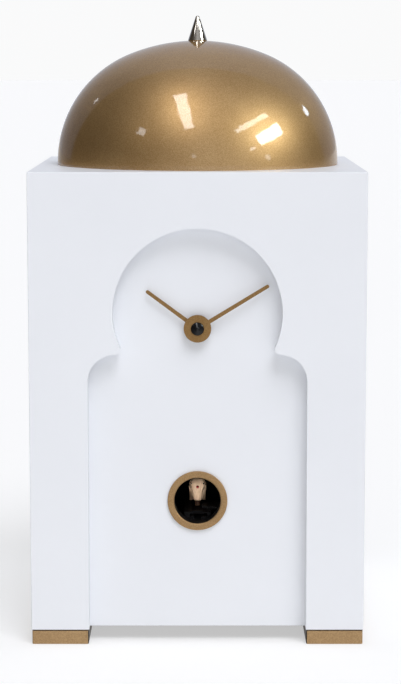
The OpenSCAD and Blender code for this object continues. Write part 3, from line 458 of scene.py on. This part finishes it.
def foot_bronze():
    """Bronze paint with painted shade: near-black on the foot's inner side and on the step under the case, where
    shadow falls.
    """
    s = bronze("foot_bronze", (0.34, 0.215, 0.105), (0.50, 0.335, 0.175), 0.46, 0.25)
    place, facing = s.axes("Object"), s.axes("Normal")
    step_z, inner_side = 10.4 * MM, -0.04
    # Negative where a face looks at the middle of the clock
    outward = s.math("MULTIPLY", place["X"], facing["X"])
    step = s.math("GREATER_THAN", place["Z"], step_z)
    # Painted shade: the inner side and the step turn near-black for the shadow there
    s.paint_shade(s.math("MAXIMUM", s.math("LESS_THAN", outward, inner_side), step), (0.012, 0.010, 0.009))
    return s.mat


def circuit_board():
    s = Shader("circuit_board").set(Specular_IOR_Level=0.5, Coat_Weight=0.4, Coat_Roughness=0.2)
    weave = s.noise(1500, 2, 0.5, (1, 1, 3))
    tracks = s.node("ShaderNodeTexBrick")
    tracks.inputs["Scale"].default_value = 260
    tracks.inputs["Mortar Size"].default_value = 0.03
    tracks.inputs["Color1"].default_value = (0.012, 0.115, 0.045, 1)
    tracks.inputs["Color2"].default_value = (0.016, 0.135, 0.055, 1)
    tracks.inputs["Mortar"].default_value = (0.03, 0.20, 0.085, 1)
    s.links.new(s.scaled((1, 1, 1)), tracks.inputs["Vector"])
    s.color(tracks.outputs["Color"])
    s.rough(s.between(weave, 0.3, 0.42, 0.3, 0.7))
    return s.bump((weave, 0.00002, 0.2)).mat


MATERIALS = {
    "case_lacquer": lacquer(),
    "bare_board": bare_board("bare_board", (0.30, 0.19, 0.10), (0.47, 0.33, 0.19)),
    "foot_bronze": foot_bronze(),
    "back_board": bare_board("back_board", (0.012, 0.012, 0.013), (0.030, 0.029, 0.028)),
    "dome_bronze": bronze("dome_bronze", (0.40, 0.235, 0.085), (0.61, 0.400, 0.188), 0.47, 0.9, 2400, 0.9, 0.06).mat,
    "ring_bronze": bronze("ring_bronze", (0.29, 0.178, 0.082), (0.42, 0.270, 0.135), 0.42, 0.3).mat,
    "hand_bronze": bronze("hand_bronze", (0.23, 0.133, 0.050), (0.33, 0.198, 0.083), 0.42, 0.35).mat,
    "bright_nickel": metal("bright_nickel", (0.62, 0.58, 0.53), (0.80, 0.77, 0.72), 0.06, 0.16, (1, 1, 9)),
    "zinc_steel": metal("zinc_steel", (0.50, 0.51, 0.53), (0.66, 0.67, 0.69), 0.22, 0.38),
    "black_gloss": plastic("black_gloss", (0.002, 0.002, 0.0025), (0.005, 0.005, 0.006), 0.13, 300, 0.00002, 0.1,
                           Specular_IOR_Level=0.35),
    "black_plastic": plastic("black_plastic", (0.001, 0.001, 0.0013), (0.002, 0.002, 0.0025), 0.62,
                             Specular_IOR_Level=0.15),
    "gear_white": plastic("gear_white", (0.70, 0.67, 0.58), (0.80, 0.77, 0.68), 0.42, Subsurface_Weight=0.05),
    "gear_black": plastic("gear_black", (0.005, 0.005, 0.005), (0.009, 0.009, 0.009), 0.45, Specular_IOR_Level=0.3),
    "seal_rubber": plastic("seal_rubber", (0.012, 0.012, 0.012), (0.022, 0.022, 0.022), 0.8),
    "turned_brass": metal("turned_brass", (0.62, 0.41, 0.15), (0.78, 0.56, 0.24), 0.18, 0.34),
    "stator_iron": metal("stator_iron", (0.36, 0.36, 0.37), (0.52, 0.52, 0.53), 0.35, 0.5),
    "coil_copper": metal("coil_copper", (0.42, 0.14, 0.05), (0.68, 0.28, 0.12), 0.25, 0.4, (9, 1, 1), 500),
    "circuit_board": circuit_board(),
    "rotor_magnet": plastic("rotor_magnet", (0.05, 0.05, 0.055), (0.09, 0.09, 0.095), 0.5),
    "motor_can": metal("motor_can", (0.48, 0.48, 0.49), (0.62, 0.62, 0.63), 0.25, 0.38, (1, 1, 6)),
    "platform_grey": plastic("platform_grey", (0.001, 0.001, 0.0012), (0.002, 0.002, 0.0024), 0.5,
                             Specular_IOR_Level=0.15),
    "bird_wood": wood("bird_wood", (0.42, 0.25, 0.14), (0.80, 0.60, 0.43)),
    "peg_wood": wood("peg_wood", (0.035, 0.016, 0.008), (0.08, 0.038, 0.018)),
    "beak_red": plastic("beak_red", (0.30, 0.006, 0.012), (0.40, 0.012, 0.02), 0.3),
    "eye_black": plastic("eye_black", (0.003, 0.003, 0.003), (0.006, 0.006, 0.006), 0.15),
    "speaker_steel": metal("speaker_steel", (0.34, 0.35, 0.36), (0.48, 0.49, 0.50), 0.3, 0.45),
    "speaker_paper": bare_board("speaker_paper", (0.010, 0.010, 0.010), (0.024, 0.023, 0.022)),
    "speaker_ferrite": plastic("speaker_ferrite", (0.03, 0.03, 0.032), (0.06, 0.06, 0.062), 0.55),
    "cell_jacket": plastic("cell_jacket", (0.045, 0.05, 0.06), (0.07, 0.078, 0.09), 0.25, Metallic=0.6),
    "contact_nickel": metal("contact_nickel", (0.60, 0.58, 0.53), (0.74, 0.72, 0.66), 0.2, 0.34),
    "lead_red": plastic("lead_red", (0.28, 0.012, 0.010), (0.36, 0.02, 0.016), 0.42),
    "lead_black": plastic("lead_black", (0.010, 0.010, 0.010), (0.018, 0.018, 0.018), 0.42),
}

# What the record says of each node
SLOT_OF = {row["node"]: row["material_slot"] for row in frame["record"]["subparts"]}
BODY_OF = {n: body for body, names in frame["record"]["behaviour"]["bodies"].items() for n in names}
replaced = set()        # CAD nodes that a piece of this script stands for


# ---------------------------------------------------------------- mesh helpers

def finish_mesh(obj, node, smooth_angle=38, weighted=True):
    """Gives a new piece its shading, material, body and the CAD node that it stands for."""
    mesh = obj.data
    mesh.materials.append(MATERIALS[SLOT_OF[node]])
    mesh.polygons.foreach_set("use_smooth", [True] * len(mesh.polygons))
    mesh.set_sharp_from_angle(angle=math.radians(smooth_angle))
    if weighted:
        mod = obj.modifiers.new("normals", "WEIGHTED_NORMAL")
        mod.keep_sharp = True
    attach(obj, BODY_OF[node])
    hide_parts(node)
    replaced.add(node)
    return obj


def from_bmesh(name, bm):
    """Makes an object of a bmesh, with its faces outward."""
    bmesh.ops.recalc_face_normals(bm, faces=bm.faces)
    mesh = bpy.data.meshes.new(name)
    bm.to_mesh(mesh)
    bm.free()
    return link(bpy.data.objects.new(name, mesh))


def lathe(name, profile, steps=96, closed=True):
    """Revolves [(radius, height)] in millimetres about Z. Points with radius 0 become poles."""
    bm = bmesh.new()
    rings = []
    for r, z in profile:
        if r < 1e-6:
            rings.append([bm.verts.new((0, 0, z * MM))])
        else:
            rings.append([bm.verts.new((r * MM * math.cos(2 * math.pi * i / steps),
                                        r * MM * math.sin(2 * math.pi * i / steps), z * MM))
                          for i in range(steps)])
    following = rings[1:] + rings[:1] if closed else rings[1:]
    for low, high in zip(rings, following):
        for i in range(steps):
            j = (i + 1) % steps
            if len(low) == 1:
                bm.faces.new((low[0], high[i], high[j]))
            elif len(high) == 1:
                bm.faces.new((low[i], low[j], high[0]))
            else:
                bm.faces.new((low[i], low[j], high[j], high[i]))
    return from_bmesh(name, bm)


def arc(cx, cy, r, start, end, steps):
    """Points on an arc, angles in degrees."""
    return [(cx + r * math.cos(math.radians(start + (end - start) * i / steps)),
             cy + r * math.sin(math.radians(start + (end - start) * i / steps))) for i in range(steps + 1)]


def round_edges(bm, edges, width):
    """Rounds edges by a width in millimetres."""
    bmesh.ops.bevel(bm, geom=edges, offset=width * MM, offset_type="OFFSET", segments=3,
                    profile=0.5, affect="EDGES", clamp_overlap=True)


def slab(name, outline, front_y, back_y, bevel, front_only=True):
    """Extrudes an XZ outline in millimetres from front_y to back_y and rounds its rims and its sharp corners."""
    corner = 35
    bm = bmesh.new()
    front = [bm.verts.new((x * MM, front_y * MM, z * MM)) for x, z in outline]
    back = [bm.verts.new((x * MM, back_y * MM, z * MM)) for x, z in outline]
    n = len(outline)
    bm.faces.new(front)
    bm.faces.new(list(reversed(back)))
    for i in range(n):
        j = (i + 1) % n
        bm.faces.new((front[j], front[i], back[i], back[j]))
    rims = [front] if front_only else [front, back]
    picked = [bm.edges.get((rim[i], rim[(i + 1) % n])) for rim in rims for i in range(n)]
    picked += [bm.edges.get((front[i], back[i])) for i in range(n) if corner_angle(outline, i) > corner]
    round_edges(bm, picked, bevel)
    return from_bmesh(name, bm)


def loft(bm, rings):
    """Joins rings of points, in millimetres, into a closed tube of quads."""
    made = [[bm.verts.new(Vector(p) * MM) for p in ring] for ring in rings]
    n = len(made[0])
    for low, high in zip(made, made[1:]):
        for i in range(n):
            bm.faces.new((low[i], low[(i + 1) % n], high[(i + 1) % n], high[i]))
    bm.faces.new(list(reversed(made[0])))
    bm.faces.new(made[-1])


def corner_angle(outline, i):
    """How far an outline turns at a point, in degrees."""
    a, b, c = (Vector(outline[k % len(outline)]) for k in (i - 1, i, i + 1))
    return math.degrees((b - a).angle(c - b, 0.0))


def turn_to_front(obj, y, z):
    """Turns a piece made about Z so that it faces -Y, its foot at y and its axis at height z, in millimetres."""
    obj.data.transform(Matrix.Translation((0, y * MM, z * MM)) @ Matrix.Rotation(math.radians(90), 4, "X"))


def board(name, node, rounded):
    """A box in place of a CAD board. rounded lists the edges to round, as pairs of faces like '-x+z'."""
    low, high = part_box(node)
    bm = bmesh.new()
    bmesh.ops.create_cube(bm, size=1)
    for v in bm.verts:
        v.co = Vector([low[k] if v.co[k] < 0 else high[k] for k in range(3)])
    limits = {"-x": (0, low[0]), "+x": (0, high[0]), "-y": (1, low[1]), "+y": (1, high[1]),
              "-z": (2, low[2]), "+z": (2, high[2])}

    def on(edge, face):
        axis, value = limits[face]
        return all(abs(v.co[axis] - value) < 1e-7 for v in edge.verts)

    picked = [e for e in bm.edges if any(on(e, p[:2]) and on(e, p[2:]) for p in rounded)]
    round_edges(bm, picked, EDGE_R)
    finish_mesh(from_bmesh(name, bm), node)


# ---------------------------------------------------------------- the case

def niche_outline(floor_z):
    """The keyhole outline from its lower right corner over the head to the lower left corner."""
    inner_x = NICHE_HALF_W - SHOULDER_R
    neck_z = SHOULDER_Z + NECK_R
    lean = math.degrees(math.atan2(neck_z - HEAD_Z, inner_x))
    right = [(NICHE_HALF_W, floor_z)]
    right += arc(inner_x, SHOULDER_Z - SHOULDER_R, SHOULDER_R, 0, 90, 20)
    right += arc(inner_x, neck_z, NECK_R, -90, -180 + lean, 12)[1:]
    head = arc(0, HEAD_Z, HEAD_R, lean, 180 - lean, 120)
    left = [(-x, z) for x, z in reversed(right)]
    return right + head[1:-1] + left


def make_fascia():
    low, high = (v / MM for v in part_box("front_fascia"))
    outline = [(low.x, low.z), (low.x, high.z), (high.x, high.z), (high.x, low.z)] + niche_outline(low.z)
    finish_mesh(slab("front_fascia_lacquered", outline, low.y, high.y, EDGE_R), "front_fascia", 50)


def make_case():
    make_fascia()
    for side, out, inward in (("left", "-x", "+x"), ("right", "+x", "-x")):
        board(f"side_{side}_lacquered", f"side_{side}",
              [out + "+z", out + "-z", out + "+y", inward + "+y", "+y+z", "+y-z"])
    board("top_panel_lacquered", "top_panel", ["+y+z", "+y-z"])
    board("bottom_panel_lacquered", "bottom_panel", ["+y-z", "+y+z"])
    for side in ("left", "right"):
        make_foot(side)


def make_foot(side):
    """A runner foot with a narrow step under the case, which its material darkens as painted shade."""
    low, high = (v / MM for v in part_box(f"foot_{side}"))
    step, inset = 0.55, 1.3
    corner_r, foot_bevel, top_bevel = 1.0, 0.35, 0.3
    bm = bmesh.new()

    def ring(x0, y0, x1, y1, z, r):
        corners = [(x1 - r, y1 - r, 0), (x0 + r, y1 - r, 90), (x0 + r, y0 + r, 180), (x1 - r, y0 + r, 270)]
        return [(x, y, z) for cx, cy, a in corners for x, y in arc(cx, cy, r, a, a + 90, 4)]

    # How far each level stands in from the foot's box, and its height
    levels = [(foot_bevel, 0.0), (0.0, foot_bevel), (0.0, high.z - step - top_bevel), (top_bevel, high.z - step),
              (inset, high.z - step), (inset, high.z)]
    loft(bm, [ring(low.x + d, low.y + d, high.x - d, high.y - d, z, corner_r) for d, z in levels])
    finish_mesh(from_bmesh(f"foot_{side}_bronze", bm), f"foot_{side}", 30)


def dome_profile():
    """Outer profile of the dome from its foot to the rim of the rod's hole, and the inner one back down."""
    low, high = (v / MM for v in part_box("dome_shell"))
    dome_r = high.x
    side_x = dome_r - DOME_SIDE_R
    flat = high.z - low.z
    dome_h = flat + DOME_CUT
    reach = dome_h - DOME_SIDE_R
    drop = (reach ** 2 - side_x ** 2 - DOME_SIDE_Z ** 2) / (2 * reach - 2 * DOME_SIDE_Z)
    top_r = dome_h - drop
    meet = math.degrees(math.atan2(DOME_SIDE_Z - drop, side_x))
    foot = math.degrees(math.asin(-DOME_SIDE_Z / DOME_SIDE_R))
    hole_r, steps = 2.2, 40

    def skin(inset):
        end = math.degrees(math.asin((flat - inset - drop) / (top_r - inset)))
        side = arc(side_x, DOME_SIDE_Z, DOME_SIDE_R - inset, foot, meet, steps)
        top = arc(0, drop, top_r - inset, meet, end, steps)
        return side + top[1:]

    outer, inner = skin(0), skin(DOME_T)
    outer.append((hole_r, flat))
    inner.append((hole_r, flat - DOME_T))
    return [(r, z + low.z) for r, z in outer + list(reversed(inner))]


def make_dome():
    finish_mesh(lathe("dome_painted", dome_profile(), 256), "dome_shell", 60, weighted=False)


def make_finial():
    low, high = (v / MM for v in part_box("finial"))
    foot_r, height, tip_r, edge_r = high.x, high.z - low.z, 1.7, 0.5
    bore_r, bore_h = 2.0, 8.0
    slope = math.degrees(math.atan2(height - tip_r, foot_r))
    lean = math.degrees(math.acos(tip_r / math.hypot(foot_r, height - tip_r)))
    tip = arc(0, height - tip_r, tip_r, lean - slope, 90, 14)
    foot = arc(foot_r - edge_r, edge_r, edge_r, -90, 10, 6)
    profile = [(0, bore_h), (bore_r, bore_h), (bore_r, 0)] + foot + tip[:-1] + [(0, height)]
    obj = lathe("finial_turned", [(r, z + low.z) for r, z in profile], 96, closed=False)
    finish_mesh(obj, "finial", 50, weighted=False)


def make_ring():
    low, high = (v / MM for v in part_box("cuckoo_ring"))
    outer, inner, recess_r, recess = high.x, 17.5, 18.9, 1.2
    depth, edge_r = high.y - low.y, 0.5
    # From the recess in its back over the round outer edge to the chamfered lip of the port
    profile = [(recess_r, 0), (outer, 0)] + arc(outer - edge_r, depth - edge_r, edge_r, 0, 90, 6)
    profile += [(inner + 0.8, depth), (inner + 0.68, depth - 0.04), (inner + 0.06, depth - 0.62),
                (inner, depth - 0.75), (inner, recess), (recess_r, recess)]
    obj = lathe("cuckoo_ring_painted", profile, 128)
    turn_to_front(obj, high.y, PORT_Z)
    finish_mesh(obj, "cuckoo_ring", 50, weighted=False)


# ---------------------------------------------------------------- the hands

def hand_outline(length):
    """A round hub with a straight round-ended blade towards +Z."""
    half = HAND_W / 2
    start = math.degrees(math.asin(half / HUB_R))
    hub = arc(0, 0, HUB_R, 90 + start, 450 - start, 72)
    tip = arc(0, length - half, half, 0, 180, 14)
    return hub + tip


def make_hand(node, length, angle):
    """A hand cut from thin plate, turned clockwise from twelve."""
    front = (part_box(node)[0] / MM).y
    thick, bevel = 0.6, 0.16
    obj = slab(node + "_plate", hand_outline(length), front, front + thick, bevel, front_only=False)
    turn = Matrix.Rotation(math.radians(angle), 4, "Y")
    obj.data.transform(Matrix.Translation((0, 0, AXIS_Z * MM)) @ turn)
    finish_mesh(obj, node, 40)


def make_hand_nut():
    low, high = (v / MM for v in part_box("hand_nut"))
    r, h = high.x, high.y - low.y
    bore_r, bore_h, rim_h, rim_in = 1.1, 1.9, 1.05, 0.25
    profile = [(0, bore_h), (bore_r, bore_h), (bore_r, 0), (r - 0.15, 0), (r, 0.2), (r, 0.75), (r - rim_in, rim_h)]
    # A cone that ends in a small flat crown
    profile += [(r - rim_in - (r - 1.0) * k / 6, rim_h + (h - 1.25) * k / 6) for k in range(1, 6)]
    profile += [(0.9, h - 0.06), (0.4, h), (0, h)]
    obj = lathe("hand_nut_cap", profile, 64, closed=False)
    turn_to_front(obj, high.y, AXIS_Z)
    finish_mesh(obj, "hand_nut", 40, weighted=False)


# ---------------------------------------------------------------- the bird

def make_bird():
    low, high = (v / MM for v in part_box("bird_body"))
    front, tail, foot_z = low.y, high.y, low.z
    # Whittled levels from the foot to the crown: height, half width, front and back, as distances behind the breast
    levels = [(0, 2.7, 5.5, 12), (1.2, 3.3, 1.8, 13.5), (3.2, 3.5, 0.9, 15), (7.0, 4.0, 0.4, 16), (9.6, 4.6, 0, 15),
              (11.6, 5.7, 0.1, 13.4), (14.2, 6.4, 0.5, 12.8), (16.4, 5.2, 1.6, 11.8), (18.4, 3.3, 3.4, 10),
              (19.4, 1.6, 5.2, 8)]
    bm = bmesh.new()
    rings = []
    for z, half, near, far in levels:
        right = [(0.36, near), (0.80, near + 1.0), (1.0, near + 3.2), (0.92, far - 2.4), (0.45, far)]
        ring = [(half * x, y) for x, y in right] + [(-half * x, y) for x, y in reversed(right)]
        rings.append([(x, front + y, foot_z + z) for x, y in ring])
    loft(bm, rings)
    # The tail: distance behind the breast, half width, lowest and highest point
    slices = [(11, 3.6, 1.2, 13), (17, 3.9, 1.8, 12.4), (24, 3.5, 3.4, 11.2), (31, 2.6, 5.0, 9.8),
              (tail - front, 1.6, 6.2, 8.6)]
    rings = []
    for y, half, bottom, top in slices:
        side = [(0.5, bottom), (1.0, bottom + 1.6), (0.9, top - 1.2), (0.4, top)]
        ring = [(half * x, z) for x, z in side] + [(-half * x, z) for x, z in reversed(side)]
        rings.append([(x, front + y, foot_z + z) for x, z in ring])
    loft(bm, rings)
    obj = from_bmesh("bird_body_carved", bm)
    bevel = obj.modifiers.new("worn_edges", "BEVEL")
    bevel.width = 0.22 * MM
    bevel.segments = 2
    finish_mesh(obj, "bird_body", 20, weighted=False)
    fit_to(obj, "bird_body")
    make_wings()
    make_beak()


def fit_to(obj, node):
    """Stretches a piece so that it just fills the box of a CAD node."""
    deps = bpy.context.evaluated_depsgraph_get()
    points = [v.co.copy() for v in obj.evaluated_get(deps).to_mesh().vertices]
    low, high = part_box(node)
    own_low = Vector([min(p[k] for p in points) for k in range(3)])
    own_high = Vector([max(p[k] for p in points) for k in range(3)])
    for v in obj.data.vertices:
        v.co = Vector([low[k] + (v.co[k] - own_low[k]) * (high[k] - low[k]) / (own_high[k] - own_low[k])
                       for k in range(3)])


def make_wings():
    """Two wings that hang from the shoulders and wrap a little way around the breast, grooved like feathers."""
    low, high = (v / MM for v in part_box("bird_wings"))
    steps, rows = 24, 10
    bm = bmesh.new()
    for side in (-1, 1):
        outside, inside = {}, {}
        for i in range(steps + 1):
            # Down the wing from the shoulder: its middle line and its half width
            t = i / steps
            y = low.y + 2.8 + (high.y - low.y - 3.2) * t ** 1.2
            z = high.z - 1.2 - (high.z - low.z - 1.6) * t
            wide = 4.1 * math.sin(math.pi * (0.14 + 0.86 * t) ** 0.85) ** 0.9 if i < steps else 0.05
            for j in range(rows + 1):
                # Across it: how it wraps around the breast, its grooves and its thickness
                u = j / rows * 2 - 1
                wrap = 2.8 * max(0.0, -u - 0.1) ** 1.2 * (1 - t ** 5)
                groove = 0.16 * (0.5 + 0.5 * math.cos(u * 14)) * min(1.0, 4 * t)
                thick = 1.7 * math.sqrt(max(0.03, 1 - u * u)) * (1 - 0.6 * t ** 6)
                x = high.x - 0.35 - wrap - 0.5 * t
                outside[i, j] = (x - groove, y + wide * u * 0.74, z + wide * u * 0.68)
                inside[i, j] = (x - thick, y + wide * u * 0.74, z + wide * u * 0.68)
        verts, back = ({k: bm.verts.new(Vector((side * q[0], q[1], q[2])) * MM) for k, q in grid.items()}
                       for grid in (outside, inside))

        def face(*corners):
            bm.faces.new(corners if side < 0 else corners[::-1])

        for i in range(steps):
            for j in range(rows):
                face(verts[i, j], verts[i + 1, j], verts[i + 1, j + 1], verts[i, j + 1])
                face(back[i, j], back[i, j + 1], back[i + 1, j + 1], back[i + 1, j])
        rim = [(i, 0) for i in range(steps + 1)] + [(steps, j) for j in range(1, rows + 1)]
        rim += [(i, rows) for i in range(steps - 1, -1, -1)] + [(0, j) for j in range(rows - 1, 0, -1)]
        for a, b in zip(rim, rim[1:] + rim[:1]):
            face(verts[a], back[a], back[b], verts[b])
    wings = finish_mesh(from_bmesh("bird_wings_carved", bm), "bird_wings", 50, weighted=False)
    fit_to(wings, "bird_wings")


def make_beak():
    low, high = (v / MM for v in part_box("bird_beak"))
    profile = [(0, 0), (1.0, 0.1), (1.2, 0.5), (1.1, 1.3), (0.85, 2.2), (0.5, 2.8), (0, 3.0)]
    beak = lathe("bird_beak_painted", profile, 24, closed=False)
    turn_to_front(beak, high.y, (low.z + high.z) / 2)
    finish_mesh(beak, "bird_beak", 60, weighted=False)


# ---------------------------------------------------------------- CAD nodes that keep their shape

def dress_cad_nodes():
    """Gives every CAD node that no piece stands for its material and softened edges."""
    crease, widest, share = math.radians(40), 0.3 * MM, 0.006
    for name, obj in frame["nodes"].items():
        if name in replaced:
            continue
        mesh = obj.data
        mesh.materials.clear()
        mesh.materials.append(MATERIALS[SLOT_OF[name]])
        weld = obj.modifiers.new("weld", "WELD")
        weld.merge_threshold = 1e-6
        size = max(high - low for low, high in zip(*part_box(name)))
        bevel = obj.modifiers.new("soft_edges", "BEVEL")
        bevel.width = min(widest, size * share)
        bevel.segments = 2
        bevel.limit_method = "ANGLE"
        bevel.angle_limit = crease
        normals = obj.modifiers.new("normals", "WEIGHTED_NORMAL")
        normals.keep_sharp = True
        mesh.polygons.foreach_set("use_smooth", [True] * len(mesh.polygons))
        mesh.set_sharp_from_angle(angle=crease)


make_camera()
make_world()
make_stage()
make_backdrop()
make_lights()
make_case()
make_dome()
make_finial()
make_ring()
make_hand("minute_hand", MINUTE_L, MINUTE_ANGLE)
make_hand("hour_hand", HOUR_L, HOUR_ANGLE)
make_hand_nut()
make_bird()
dress_cad_nodes()
bpy.context.scene.view_settings.view_transform = "Standard"
